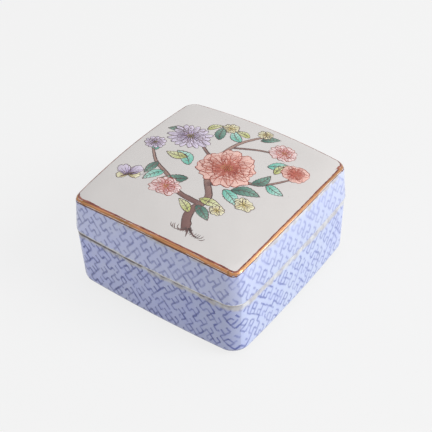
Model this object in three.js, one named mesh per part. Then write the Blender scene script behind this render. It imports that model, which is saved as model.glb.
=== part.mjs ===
// A square porcelain box with a slip-over lid. Millimetres, +Z up.
// The origin is on the table, at the middle of the foot rim.

import * as THREE from 'three';

// Plan
const SIDE = 70; // across the lid's rim at the middle of its sides
const SIDE_SWELL = 1.0; // how far the middle of a side stands out beyond its ends
const RIM_CORNER_RADIUS = 5.0; // upright corners, outside, where lid and base meet
const SHOULDER_CORNER_RADIUS = 4.4; // the same corners at the top of the lid's wall
const HEEL_CORNER_RADIUS = 6.0; // and at the bottom of the base's wall
const INNER_CORNER_RADIUS = 3.6; // no inside corner is sharper than this
const LEAST_CORNER_RADIUS = 1.6; // nor any outside one than this

// Lid
const LID_HEIGHT = 14.5; // rim to the middle of the crown's edges
const LID_WALL = 2.6;
const LID_TAPER = 0.9; // the lid's wall draws in this much from rim to shoulder
const CROWN_RISE = 1.8; // the crown swells this far above the middle of its edges
const CORNER_DROOP = 1.9; // a sharp corner of the crown would hang this far below them
const CROWN_THICKNESS = 3.0;
const SHOULDER_RADIUS = 1.6; // from the wall into the crown
const CEILING_FILLET = 2.4;
const LID_RIM_OUTER_ROUND = 0.7;
const LID_RIM_INNER_ROUND = 0.4;

// Base
const BASE_HEIGHT = 23.3; // table to the seat that carries the lid
const BASE_SETBACK = 0.3; // the base's face lies this far inside the lid's
const HEEL_RADIUS = 2.4;
const SEAT_ROUND = 0.7; // outer edge of the seat
const FLOOR_THICKNESS = 3.0;
const FLOOR_FILLET = 3.0;

// Collar that stands up inside the lid
const COLLAR_HEIGHT = 4.2;
const COLLAR_THICKNESS = 1.8;
const COLLAR_ROUND = 0.5;
const COLLAR_CLEARANCE = 0.5; // running gap to the lid's wall, all round
const COLLAR_HEADROOM = 1.0; // the lid's inner wall stays upright this far above the collar

// Foot rim
const FOOT_HEIGHT = 0.9;
const FOOT_WIDTH = 2.4;
const FOOT_INSET = 4.0; // behind the base's face at the heel
const FOOT_ROUND = 0.3;
const PANEL_RECESS = 0.5; // the panel inside the foot lies this much above the heel's underside

// Facets
const CORNER_STEPS = 8;
const SIDE_STEPS = 6;
const ROUND_STEPS = 3;
const HEEL_STEPS = 6;
const SHOULDER_STEPS = 7;
const FILLET_STEPS = 5;
const DOME_STEPS = 8;

const QUARTER = Math.PI / 2;
const HALF_TURN = 2 * QUARTER;

// Places that both pieces share
const COLLAR_FACE = LID_WALL + COLLAR_CLEARANCE;
const CAVITY_FACE = COLLAR_FACE + COLLAR_THICKNESS;
const PANEL_Z = FOOT_HEIGHT + PANEL_RECESS;
const FLOOR_Z = PANEL_Z + FLOOR_THICKNESS;
const COLLAR_TOP = BASE_HEIGHT + COLLAR_HEIGHT;

// Faces that the plan draws in from: how far each lies inside the lid's rim, its corner
// radius there, and the least radius that its corners keep further in
const RIM = { inset: 0, corner: RIM_CORNER_RADIUS, least: LEAST_CORNER_RADIUS };
const SHOULDER = { inset: LID_TAPER, corner: SHOULDER_CORNER_RADIUS, least: LEAST_CORNER_RADIUS };
const HEEL = { inset: BASE_SETBACK, corner: HEEL_CORNER_RADIUS, least: INNER_CORNER_RADIUS };
const INSIDE = { inset: 0, corner: RIM_CORNER_RADIUS, least: INNER_CORNER_RADIUS };

// A station of a loft: the plan drawn in from a face to an inset, at a height
function station(face, inset, z) {
  const radius = Math.max(face.corner - (inset - face.inset), face.least);
  return { half: SIDE / 2 - inset, radius, z };
}

// Stations round an arc about a centre. Angle 0 points out of the side, a quarter turn points up.
function arc(face, centre, radius, from, to, steps) {
  const stations = [];
  for (let i = 0; i <= steps; i += 1) {
    const angle = from + ((to - from) * i) / steps;
    const inset = centre.inset - radius * Math.cos(angle);
    stations.push(station(face, inset, centre.z + radius * Math.sin(angle)));
  }
  return stations;
}

// Stations from an edge in to the middle of a swollen panel, squarer at the edge, round inside
function dome(edge, apexZ) {
  const stations = [];
  for (let i = 1; i < DOME_STEPS; i += 1) {
    const reach = 1 - i / DOME_STEPS;
    const half = edge.half * reach;
    const roundness = 1 + (edge.radius / edge.half - 1) * reach;
    const z = apexZ - (apexZ - edge.z) * reach * reach;
    stations.push({ half, radius: roundness * half, z });
  }
  return stations;
}

// How far a dome's edge slopes, as an angle
function domeSlope(half, rise) {
  return Math.atan((2 * rise) / half);
}

// One corner and the side after it, for a square with round corners, before its sides swell
function cornerAndSide(square, radius, turn) {
  const arm = square - radius;
  const points = [];
  for (let i = 0; i <= CORNER_STEPS; i += 1) {
    const angle = (QUARTER * i) / CORNER_STEPS;
    points.push(new THREE.Vector2(arm + radius * Math.cos(angle), arm + radius * Math.sin(angle)));
  }
  for (let i = 1; i < SIDE_STEPS; i += 1) {
    points.push(new THREE.Vector2(arm - (2 * arm * i) / SIDE_STEPS, square));
  }
  const origin = new THREE.Vector2(0, 0);
  return points.map((point) => point.rotateAround(origin, turn));
}

// Stations whose corners hang below the middle of their sides
function drooping(stations) {
  return stations.map((item) => ({ ...item, droop: CORNER_DROOP }));
}

// The ring of points at a station, counter-clockwise from above, with swollen sides
function planRing({ half, radius, z, droop = 0 }) {
  const swell = SIDE_SWELL / (SIDE / 2);
  const square = half / (1 + swell);
  const corner = Math.min(radius, square);
  const ring = [0, 1, 2, 3].flatMap((turn) => cornerAndSide(square, corner, turn * QUARTER));
  return ring.map(({ x, y }) => {
    const swollenX = x * (1 + swell * (1 - (y / square) ** 2));
    const swollenY = y * (1 + swell * (1 - (x / square) ** 2));
    const cornerness = (swollenX * swollenY) / (SIDE / 2) ** 2;
    return new THREE.Vector3(swollenX, swollenY, z - droop * cornerness ** 2);
  });
}

// A closed solid through the stations, ended by a fan to the middle at each end
function loft(stations, startZ, endZ) {
  const rings = stations.map(planRing);
  const count = rings[0].length;
  const points = [...rings.flat(), new THREE.Vector3(0, 0, startZ), new THREE.Vector3(0, 0, endZ)];
  const start = points.length - 2;
  const end = points.length - 1;
  const lastRing = (rings.length - 1) * count;
  const index = [];
  for (let i = 0; i < count; i += 1) {
    const next = (i + 1) % count;
    index.push(start, next, i);
    for (let low = 0; low < lastRing; low += count) {
      const high = low + count;
      index.push(low + i, low + next, high + next);
      index.push(low + i, high + next, high + i);
    }
    index.push(end, lastRing + i, lastRing + next);
  }
  const geometry = new THREE.BufferGeometry().setFromPoints(points);
  geometry.setIndex(index);
  geometry.computeVertexNormals();
  return geometry;
}

// Foot rim, from the panel inside it out to the heel's underside
function footStations() {
  const round = FOOT_ROUND;
  const outer = BASE_SETBACK + FOOT_INSET;
  const inner = outer + FOOT_WIDTH;
  const panelCorner = { inset: inner + round, z: PANEL_Z - round };
  const innerEdge = { inset: inner - round, z: round };
  const outerEdge = { inset: outer + round, z: round };
  const heelCorner = { inset: outer - round, z: FOOT_HEIGHT - round };
  return [
    ...arc(HEEL, panelCorner, round, QUARTER, 0, ROUND_STEPS),
    ...arc(HEEL, innerEdge, round, HALF_TURN, HALF_TURN + QUARTER, ROUND_STEPS),
    ...arc(HEEL, outerEdge, round, -QUARTER, 0, ROUND_STEPS),
    ...arc(HEEL, heelCorner, round, HALF_TURN, QUARTER, ROUND_STEPS),
  ];
}

// Outside of the base: heel, wall and the rounded edge of the seat
function baseWallStations() {
  const heelCentre = { inset: BASE_SETBACK + HEEL_RADIUS, z: FOOT_HEIGHT + HEEL_RADIUS };
  const seatEdge = { inset: BASE_SETBACK + SEAT_ROUND, z: BASE_HEIGHT - SEAT_ROUND };
  return [
    ...arc(HEEL, heelCentre, HEEL_RADIUS, -QUARTER, 0, HEEL_STEPS),
    ...arc(RIM, seatEdge, SEAT_ROUND, 0, QUARTER, ROUND_STEPS),
  ];
}

// Collar: up its outer face, over its rounded top and down into the cavity
function collarStations() {
  const roundZ = COLLAR_TOP - COLLAR_ROUND;
  const outerEdge = { inset: COLLAR_FACE + COLLAR_ROUND, z: roundZ };
  const innerEdge = { inset: CAVITY_FACE - COLLAR_ROUND, z: roundZ };
  const floorCorner = { inset: CAVITY_FACE + FLOOR_FILLET, z: FLOOR_Z + FLOOR_FILLET };
  return [
    station(INSIDE, COLLAR_FACE, BASE_HEIGHT),
    ...arc(INSIDE, outerEdge, COLLAR_ROUND, 0, QUARTER, ROUND_STEPS),
    ...arc(INSIDE, innerEdge, COLLAR_ROUND, QUARTER, HALF_TURN, ROUND_STEPS),
    ...arc(INSIDE, floorCorner, FLOOR_FILLET, 0, -QUARTER, FILLET_STEPS),
  ];
}

function makeBase() {
  const stations = [...footStations(), ...baseWallStations(), ...collarStations()];
  const material = new THREE.MeshStandardMaterial({ color: 0xa9b3dc, roughness: 0.2, metalness: 0 });
  const mesh = new THREE.Mesh(loft(stations, PANEL_Z, FLOOR_Z), material);
  mesh.name = 'box_base';
  return mesh;
}

// Inside of the lid: the ceiling follows the crown, a fillet leads down to the wall, and the
// wall draws in with the outside but stays upright where it slips over the collar
function ceilingStations() {
  const edgeZ = LID_HEIGHT - CROWN_THICKNESS;
  const wall = LID_WALL + LID_TAPER;
  const slope = domeSlope(SIDE / 2 - wall, CROWN_RISE);
  const corner = { inset: wall + CEILING_FILLET, z: edgeZ - CEILING_FILLET };
  const fillet = arc(INSIDE, corner, CEILING_FILLET, QUARTER - slope, 0, FILLET_STEPS);
  const slipZ = COLLAR_HEIGHT + COLLAR_HEADROOM;
  return [
    ...drooping([...dome(fillet[0], edgeZ + CROWN_RISE).reverse(), ...fillet]),
    station(INSIDE, LID_WALL, slipZ),
  ];
}

// Rim that rests on the base's seat, rounded inside and out
function lidRimStations() {
  const inner = LID_RIM_INNER_ROUND;
  const outer = LID_RIM_OUTER_ROUND;
  const innerEdge = { inset: LID_WALL - inner, z: inner };
  const outerEdge = { inset: outer, z: outer };
  return [
    ...arc(INSIDE, innerEdge, inner, HALF_TURN, HALF_TURN + QUARTER, ROUND_STEPS),
    ...arc(RIM, outerEdge, outer, -QUARTER, 0, ROUND_STEPS),
  ];
}

// Outside of the lid: the rounded shoulder runs without a break into the swollen crown
function crownStations() {
  const slope = domeSlope(SIDE / 2 - LID_TAPER - SHOULDER_RADIUS, CROWN_RISE);
  const centre = { inset: LID_TAPER + SHOULDER_RADIUS, z: LID_HEIGHT - SHOULDER_RADIUS };
  const shoulder = arc(SHOULDER, centre, SHOULDER_RADIUS, 0, QUARTER - slope, SHOULDER_STEPS);
  return drooping([...shoulder, ...dome(shoulder.at(-1), LID_HEIGHT + CROWN_RISE)]);
}

function makeLid() {
  const stations = [...ceilingStations(), ...lidRimStations(), ...crownStations()];
  const apexZ = LID_HEIGHT + CROWN_RISE;
  const material = new THREE.MeshStandardMaterial({ color: 0xd9d7d5, roughness: 0.15, metalness: 0 });
  const mesh = new THREE.Mesh(loft(stations, apexZ - CROWN_THICKNESS, apexZ), material);
  mesh.name = 'box_lid';
  mesh.position.z = BASE_HEIGHT;
  return mesh;
}

const box = new THREE.Group();
box.add(makeBase(), makeLid());

export default box;
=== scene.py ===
# A square porcelain box with a slip-over lid: the crown is painted with a flower spray in
# raised enamels, and a gilt line, an iron-red line and a blue key fret run round the sides.
import math
import random

import bmesh
import bpy
from mathutils import Matrix, Vector, noise


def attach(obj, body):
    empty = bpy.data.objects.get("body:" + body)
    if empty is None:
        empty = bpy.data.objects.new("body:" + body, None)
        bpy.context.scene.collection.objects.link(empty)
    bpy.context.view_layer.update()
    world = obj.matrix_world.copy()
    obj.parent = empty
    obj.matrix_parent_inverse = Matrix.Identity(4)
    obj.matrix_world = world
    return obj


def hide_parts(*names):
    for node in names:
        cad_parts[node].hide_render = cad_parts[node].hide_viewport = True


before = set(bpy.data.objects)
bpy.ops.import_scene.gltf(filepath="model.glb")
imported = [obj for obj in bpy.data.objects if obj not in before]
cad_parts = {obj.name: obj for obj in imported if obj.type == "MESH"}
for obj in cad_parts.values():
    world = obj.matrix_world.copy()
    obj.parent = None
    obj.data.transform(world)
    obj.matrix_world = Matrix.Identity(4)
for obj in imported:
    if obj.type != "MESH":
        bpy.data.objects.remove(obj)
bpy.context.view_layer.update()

MM = 0.001

# ---------------------------------------------------------------- camera

IMAGE_SIZE = 432
CAMERA_AZIMUTH = math.radians(37.29)
CAMERA_ELEVATION = math.radians(41.73)
CAMERA_ROLL = math.radians(-2.14)
CAMERA_DISTANCE = 369.5 * MM
CAMERA_TARGET = Vector((0.0, 0.0, 18.0 * MM))
TARGET_PIXEL = (212.89, 222.37)
FOCAL_IN_IMAGE_WIDTHS = 2.490


def place_camera():
    back = Vector((
        math.sin(CAMERA_AZIMUTH) * math.cos(CAMERA_ELEVATION),
        -math.cos(CAMERA_AZIMUTH) * math.cos(CAMERA_ELEVATION),
        math.sin(CAMERA_ELEVATION),
    ))
    level = Vector((math.cos(CAMERA_AZIMUTH), math.sin(CAMERA_AZIMUTH), 0.0))
    above = back.cross(level)
    right = level * math.cos(CAMERA_ROLL) + above * math.sin(CAMERA_ROLL)
    up = back.cross(right)
    camera = bpy.data.objects.new("camera", bpy.data.cameras.new("camera"))
    bpy.context.scene.collection.objects.link(camera)
    turned = Matrix((right, up, back)).transposed().to_4x4()
    camera.matrix_world = Matrix.Translation(CAMERA_TARGET + back * CAMERA_DISTANCE) @ turned
    camera.data.sensor_width = 36.0
    camera.data.lens = FOCAL_IN_IMAGE_WIDTHS * camera.data.sensor_width
    camera.data.shift_x = (IMAGE_SIZE / 2 - TARGET_PIXEL[0]) / IMAGE_SIZE
    camera.data.shift_y = (TARGET_PIXEL[1] - IMAGE_SIZE / 2) / IMAGE_SIZE
    camera.data.clip_start = 0.01
    bpy.context.scene.camera = camera


place_camera()

# ---------------------------------------------------------------- sizes of the box, in mm

SIDE = 70.0
SIDE_SWELL = 1.0
RIM_CORNER = 5.0
SHOULDER_CORNER = 4.4
HEEL_CORNER = 6.0
INNER_CORNER = 3.6
LEAST_CORNER = 1.6

LID_HEIGHT = 14.5
LID_WALL = 2.6
LID_TAPER = 0.9
CROWN_RISE = 1.8
CORNER_DROOP = 1.9
CROWN_THICKNESS = 3.0
SHOULDER_RADIUS = 1.6
CEILING_FILLET = 2.4
LID_RIM_OUTER_ROUND = 0.7
LID_RIM_INNER_ROUND = 0.4

BASE_HEIGHT = 23.3
BASE_SETBACK = 0.3
HEEL_RADIUS = 2.4
SEAT_ROUND = 0.7
FLOOR_THICKNESS = 3.0
FLOOR_FILLET = 3.0

COLLAR_HEIGHT = 4.2
COLLAR_THICKNESS = 1.8
COLLAR_ROUND = 0.5
COLLAR_CLEARANCE = 0.5
COLLAR_HEADROOM = 1.0

FOOT_HEIGHT = 0.9
FOOT_WIDTH = 2.4
FOOT_INSET = 4.0
FOOT_ROUND = 0.3
PANEL_RECESS = 0.5

COLLAR_FACE = LID_WALL + COLLAR_CLEARANCE
CAVITY_FACE = COLLAR_FACE + COLLAR_THICKNESS
PANEL_Z = FOOT_HEIGHT + PANEL_RECESS
FLOOR_Z = PANEL_Z + FLOOR_THICKNESS
COLLAR_TOP = BASE_HEIGHT + COLLAR_HEIGHT
LID_TOP = BASE_HEIGHT + LID_HEIGHT

# The crown lies this much lower at its middle, so that the raised enamel stays within the height
ENAMEL_ALLOWANCE = 0.16
DOME_RISE = CROWN_RISE - ENAMEL_ALLOWANCE

# Points round a ring, and steps of its rounded edges
RING_POINTS = 176
ROUND_STEPS = 5
HEEL_STEPS = 9
SHOULDER_STEPS = 14
FILLET_STEPS = 8
DOME_STEPS = 18

QUARTER = math.pi / 2

# Faces that the plan draws in from: inset, corner radius there, least radius further in
RIM = (0.0, RIM_CORNER, LEAST_CORNER)
SHOULDER = (LID_TAPER, SHOULDER_CORNER, LEAST_CORNER)
HEEL = (BASE_SETBACK, HEEL_CORNER, INNER_CORNER)
INSIDE = (0.0, RIM_CORNER, INNER_CORNER)


def station(face, inset, z, droop=0.0):
    radius = max(face[1] - (inset - face[0]), face[2])
    return (SIDE / 2 - inset, radius, z, droop)


def arc(face, centre_inset, centre_z, radius, start, end, steps, droop=0.0):
    stations = []
    for i in range(steps + 1):
        angle = start + (end - start) * i / steps
        inset = centre_inset - radius * math.cos(angle)
        stations.append(station(face, inset, centre_z + radius * math.sin(angle), droop))
    return stations


def dome(edge, apex_z, reach):
    half, radius, z, droop = edge
    round_share = 1 + (radius / half - 1) * reach
    drawn_in = half * reach
    return (drawn_in, round_share * drawn_in, apex_z - (apex_z - z) * reach * reach, droop)


def domed(edge, apex_z):
    return [dome(edge, apex_z, 1 - i / DOME_STEPS) for i in range(1, DOME_STEPS)]


def ring_point(at, around):
    """A point of a station's ring, in mm. around runs from 0 to 4, a corner and a side each."""
    half, radius, z, droop = at
    swell = SIDE_SWELL / (SIDE / 2)
    square = half / (1 + swell)
    corner = min(radius, square)
    arm = square - corner
    turn, part = divmod(around, 1.0)
    if part < 0.5:
        angle = QUARTER * part * 2
        x, y = arm + corner * math.cos(angle), arm + corner * math.sin(angle)
    else:
        x, y = arm - 2 * arm * (part - 0.5) * 2, square
    for _ in range(int(turn) % 4):
        x, y = -y, x
    swollen_x = x * (1 + swell * (1 - (y / square) ** 2))
    swollen_y = y * (1 + swell * (1 - (x / square) ** 2))
    cornerness = (swollen_x * swollen_y) / (SIDE / 2) ** 2
    return Vector((swollen_x, swollen_y, z - droop * cornerness ** 2))


# ---------------------------------------------------------------- the two porcelain shells


def select_only(piece):
    bpy.ops.object.select_all(action="DESELECT")
    piece.select_set(True)
    bpy.context.view_layer.objects.active = piece


def lofted(name, stations, start_z, end_z):
    """A closed shell: a circle is set on the first station and extruded from one to the next."""
    bpy.ops.object.select_all(action="DESELECT")
    bpy.ops.mesh.primitive_circle_add(vertices=RING_POINTS, radius=stations[0][0] * MM)
    shell = bpy.context.object
    shell.name = name
    shell.data.name = name
    bpy.ops.object.mode_set(mode="EDIT")
    mesh = bmesh.from_edit_mesh(shell.data)
    column = mesh.verts.layers.int.new("column")
    row = mesh.verts.layers.int.new("row")
    by_angle = sorted(mesh.verts, key=lambda v: math.atan2(v.co.y, v.co.x) % (2 * math.pi))
    first = RING_POINTS // 8 - RING_POINTS // 16
    for number, vert in enumerate(by_angle):
        vert[column] = (number - first) % RING_POINTS
    for number, at in enumerate(stations):
        if number:
            bpy.ops.mesh.extrude_region()
            mesh = bmesh.from_edit_mesh(shell.data)
            column = mesh.verts.layers.int["column"]
            row = mesh.verts.layers.int["row"]
        for vert in mesh.verts:
            if vert.select:
                vert.co = ring_point(at, vert[column] * 4 / RING_POINTS) * MM
                vert[row] = number
        bmesh.update_edit_mesh(shell.data)
    close_end(shell, len(stations) - 1, end_z)
    close_end(shell, 0, start_z)
    bpy.ops.mesh.select_all(action="SELECT")
    bpy.ops.mesh.normals_make_consistent(inside=False)
    bpy.ops.object.mode_set(mode="OBJECT")
    bpy.ops.object.shade_smooth()
    return shell


def close_end(shell, number, z):
    mesh = bmesh.from_edit_mesh(shell.data)
    row = mesh.verts.layers.int["row"]
    bpy.ops.mesh.select_all(action="DESELECT")
    for edge in mesh.edges:
        if edge.is_boundary and all(vert[row] == number for vert in edge.verts):
            edge.select_set(True)
    bpy.ops.mesh.extrude_region()
    bpy.ops.mesh.merge(type="CENTER")
    mesh = bmesh.from_edit_mesh(shell.data)
    for vert in mesh.verts:
        if vert.select:
            vert.co = Vector((0.0, 0.0, z * MM))
    bmesh.update_edit_mesh(shell.data)


# The fret repeats every 8.42 mm along the side and 3.34 mm up it, and goes round in whole repeats
FRET_REPEAT = 8.42
FRET_RISE = 3.34
FRET_REPEATS_ROUND = 31


def wrap_round(shell, wall_station):
    """Gives the shell a map of millimetres round the wall and millimetres up it."""
    corners = [ring_point(wall_station, c * 4 / RING_POINTS) for c in range(RING_POINTS + 1)]
    runs = [0.0]
    for near, far in zip(corners, corners[1:]):
        runs.append(runs[-1] + (far - near).length)
    scale = FRET_REPEAT * FRET_REPEATS_ROUND / runs[-1]
    columns = [item.value for item in shell.data.attributes["column"].data]
    layer = shell.data.uv_layers.new(name="wrap")
    for face in shell.data.polygons:
        numbers = [columns[v] for v in face.vertices]
        crosses = max(numbers) - min(numbers) > RING_POINTS / 2
        for loop, vertex, number in zip(face.loop_indices, face.vertices, numbers):
            if crosses and number == 0:
                number = RING_POINTS
            z = shell.data.vertices[vertex].co.z / MM
            layer.data[loop].uv = (runs[number] * scale, z)


def give_finishes(shell, finishes, edges):
    """Finishes go on in bands of rows: each edge is the row where the next finish starts."""
    for finish in finishes:
        shell.data.materials.append(finish)
    rows = [item.value for item in shell.data.attributes["row"].data]
    for face in shell.data.polygons:
        lowest = min(rows[v] for v in face.vertices)
        face.material_index = sum(lowest >= edge for edge in edges)


def foot_stations():
    r = FOOT_ROUND
    outer = BASE_SETBACK + FOOT_INSET
    inner = outer + FOOT_WIDTH
    return [
        *arc(HEEL, inner + r, PANEL_Z - r, r, QUARTER, 0, ROUND_STEPS),
        *arc(HEEL, inner - r, r, r, 2 * QUARTER, 3 * QUARTER, ROUND_STEPS),
        *arc(HEEL, outer + r, r, r, -QUARTER, 0, ROUND_STEPS),
        *arc(HEEL, outer - r, FOOT_HEIGHT - r, r, 2 * QUARTER, QUARTER, ROUND_STEPS),
    ]


def base_wall_stations():
    r = HEEL_RADIUS
    heel = arc(HEEL, BASE_SETBACK + r, FOOT_HEIGHT + r, r, -QUARTER, 0, HEEL_STEPS)
    s = SEAT_ROUND
    seat = arc(RIM, BASE_SETBACK + s, BASE_HEIGHT - s, s, 0, QUARTER, ROUND_STEPS)
    return heel, seat


def collar_stations():
    r = COLLAR_ROUND
    top = COLLAR_TOP - r
    fillet_z = FLOOR_Z + FLOOR_FILLET
    outside = [
        station(INSIDE, COLLAR_FACE, BASE_HEIGHT),
        *arc(INSIDE, COLLAR_FACE + r, top, r, 0, QUARTER, ROUND_STEPS),
    ]
    cavity = [
        *arc(INSIDE, CAVITY_FACE - r, top, r, QUARTER, 2 * QUARTER, ROUND_STEPS),
        *arc(INSIDE, CAVITY_FACE + FLOOR_FILLET, fillet_z, FLOOR_FILLET, 0, -QUARTER, FILLET_STEPS),
    ]
    return outside, cavity


def ceiling_stations():
    edge_z = LID_TOP - CROWN_THICKNESS
    wall = LID_WALL + LID_TAPER
    slope = math.atan(2 * CROWN_RISE / (SIDE / 2 - wall))
    inset, z, r = wall + CEILING_FILLET, edge_z - CEILING_FILLET, CEILING_FILLET
    fillet = arc(INSIDE, inset, z, r, QUARTER - slope, 0, FILLET_STEPS, CORNER_DROOP)
    slip = station(INSIDE, LID_WALL, BASE_HEIGHT + COLLAR_HEIGHT + COLLAR_HEADROOM)
    return [*domed(fillet[0], edge_z + CROWN_RISE)[::-1], *fillet, slip]


def lid_rim_stations():
    inner, outer = LID_RIM_INNER_ROUND, LID_RIM_OUTER_ROUND
    low = BASE_HEIGHT
    return [
        *arc(INSIDE, LID_WALL - inner, low + inner, inner, 2 * QUARTER, 3 * QUARTER, ROUND_STEPS),
        *arc(RIM, outer, low + outer, outer, -QUARTER, 0, ROUND_STEPS),
    ]


SHOULDER_SLOPE = math.atan(2 * DOME_RISE / (SIDE / 2 - LID_TAPER - SHOULDER_RADIUS))
SHOULDER_END = QUARTER - SHOULDER_SLOPE


def shoulder_station(angle):
    inset = LID_TAPER + SHOULDER_RADIUS * (1 - math.cos(angle))
    z = LID_TOP - SHOULDER_RADIUS * (1 - math.sin(angle))
    return station(SHOULDER, inset, z, CORNER_DROOP)


def crown_stations():
    turns = [SHOULDER_END * i / SHOULDER_STEPS for i in range(SHOULDER_STEPS + 1)]
    shoulder = [shoulder_station(angle) for angle in turns]
    return shoulder, domed(shoulder[-1], LID_TOP + DOME_RISE)


# ---------------------------------------------------------------- finishes


def linear(colour):
    shares = [int(colour[i:i + 2], 16) / 255 for i in (1, 3, 5)]
    curved = [s / 12.92 if s <= 0.04045 else ((s + 0.055) / 1.055) ** 2.4 for s in shares]
    return (*curved, 1.0)


def node(tree, kind, inputs, **settings):
    """Adds a node. An input is a value, a socket, or a node whose first output is meant."""
    made = tree.nodes.new(kind)
    for setting, value in settings.items():
        setattr(made, setting, value)
    for socket, value in inputs.items():
        source = value.outputs[0] if isinstance(value, bpy.types.Node) else value
        if isinstance(source, bpy.types.NodeSocket):
            tree.links.new(source, made.inputs[socket])
        else:
            made.inputs[socket].default_value = source
    return made


def start_material(name):
    material = bpy.data.materials.new(name)
    material.use_nodes = True
    material.node_tree.nodes.clear()
    return material, material.node_tree


def object_millimetres(tree):
    place = node(tree, "ShaderNodeTexCoord", {})
    thousand = (1000.0, 1000.0, 1000.0)
    return node(tree, "ShaderNodeVectorMath", {0: place.outputs["Object"], 1: thousand},
                operation="MULTIPLY")


def finish_material(tree, surface):
    node(tree, "ShaderNodeOutputMaterial", {"Surface": surface})


# Clear feldspathic glaze over fired porcelain: a cool grey-white with a wet shine, a slight
# wave left by the glaze as it ran, a greener cast where it lies thick, and a few kiln specks
def porcelain_glaze(name, body, thick, roughness):
    material, tree = start_material(name)
    mm = object_millimetres(tree)
    cloud = node(tree, "ShaderNodeTexNoise", {"Vector": mm, "Scale": 1 / 22, "Detail": 2.0})
    share = node(tree, "ShaderNodeMapRange", {"Value": cloud, "From Min": 0.38, "From Max": 0.66})
    glaze = node(tree, "ShaderNodeMixRGB",
                 {"Fac": share, "Color1": linear(body), "Color2": linear(thick)})
    # Specks are 0.3 mm across, one in about 40 square millimetres
    cells = node(tree, "ShaderNodeTexVoronoi", {"Vector": mm, "Scale": 1 / 6})
    speck = node(tree, "ShaderNodeMapRange",
                 {"Value": cells, "From Min": 0.018, "From Max": 0.034, "To Min": 0.35, "To Max": 0.0})
    coloured = node(tree, "ShaderNodeMixRGB",
                    {"Fac": speck, "Color1": glaze, "Color2": linear("#8A8278")})
    wave = node(tree, "ShaderNodeTexNoise", {"Vector": mm, "Scale": 1 / 7, "Detail": 1.0})
    pits = node(tree, "ShaderNodeTexNoise", {"Vector": mm, "Scale": 1 / 0.9, "Detail": 0.0})
    height = node(tree, "ShaderNodeMath", {0: pits, 1: 0.12, 2: wave}, operation="MULTIPLY_ADD")
    bump = node(tree, "ShaderNodeBump", {"Height": height, "Strength": 0.35, "Distance": 0.25 * MM})
    dull = node(tree, "ShaderNodeMapRange",
                {"Value": cloud, "To Min": roughness - 0.03, "To Max": roughness + 0.05})
    shader = node(tree, "ShaderNodeBsdfPrincipled",
                  {"Base Color": coloured, "Roughness": dull, "IOR": 1.5, "Normal": bump})
    finish_material(tree, shader)
    return material


# Bare fired clay where the glaze was wiped off to stand in the kiln: matt, chalky and cream,
# toasted to a warm tan in places, with a grain of about 0.4 mm
def biscuit_clay(name, clean, toasted, soiled_and_shaded=False):
    material, tree = start_material(name)
    mm = object_millimetres(tree)
    toast = node(tree, "ShaderNodeTexNoise", {"Vector": mm, "Scale": 1 / 9, "Detail": 3.0})
    share = node(tree, "ShaderNodeMapRange", {"Value": toast, "From Min": 0.42, "From Max": 0.7})
    clay = node(tree, "ShaderNodeMixRGB",
                {"Fac": share, "Color1": linear(clean), "Color2": linear(toasted)})
    if soiled_and_shaded:
        # Old dirt and painted shadow from under the lid's edge darken the clay at the seam
        ragged = node(tree, "ShaderNodeTexNoise", {"Vector": mm, "Scale": 1 / 3.2, "Detail": 3.0})
        clay = node(tree, "ShaderNodeMixRGB", {"Fac": seam_dirt_and_shade(tree, mm, ragged), "Color1": clay,
                                               "Color2": linear(SEAM_DIRT_AND_SHADE)})
    grain = node(tree, "ShaderNodeTexNoise", {"Vector": mm, "Scale": 1 / 0.4, "Detail": 3.0})
    bump = node(tree, "ShaderNodeBump", {"Height": grain, "Strength": 0.6, "Distance": 0.06 * MM})
    shader = node(tree, "ShaderNodeBsdfPrincipled",
                  {"Base Color": clay, "Roughness": 0.82, "IOR": 1.5, "Normal": bump})
    finish_material(tree, shader)
    return material


FRET_COLUMN = FRET_REPEAT / 6
FRET_ROW = FRET_RISE / 2
FRET_PITCH = 2.15
CELLS_ROUND = 3 * FRET_REPEATS_ROUND


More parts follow.
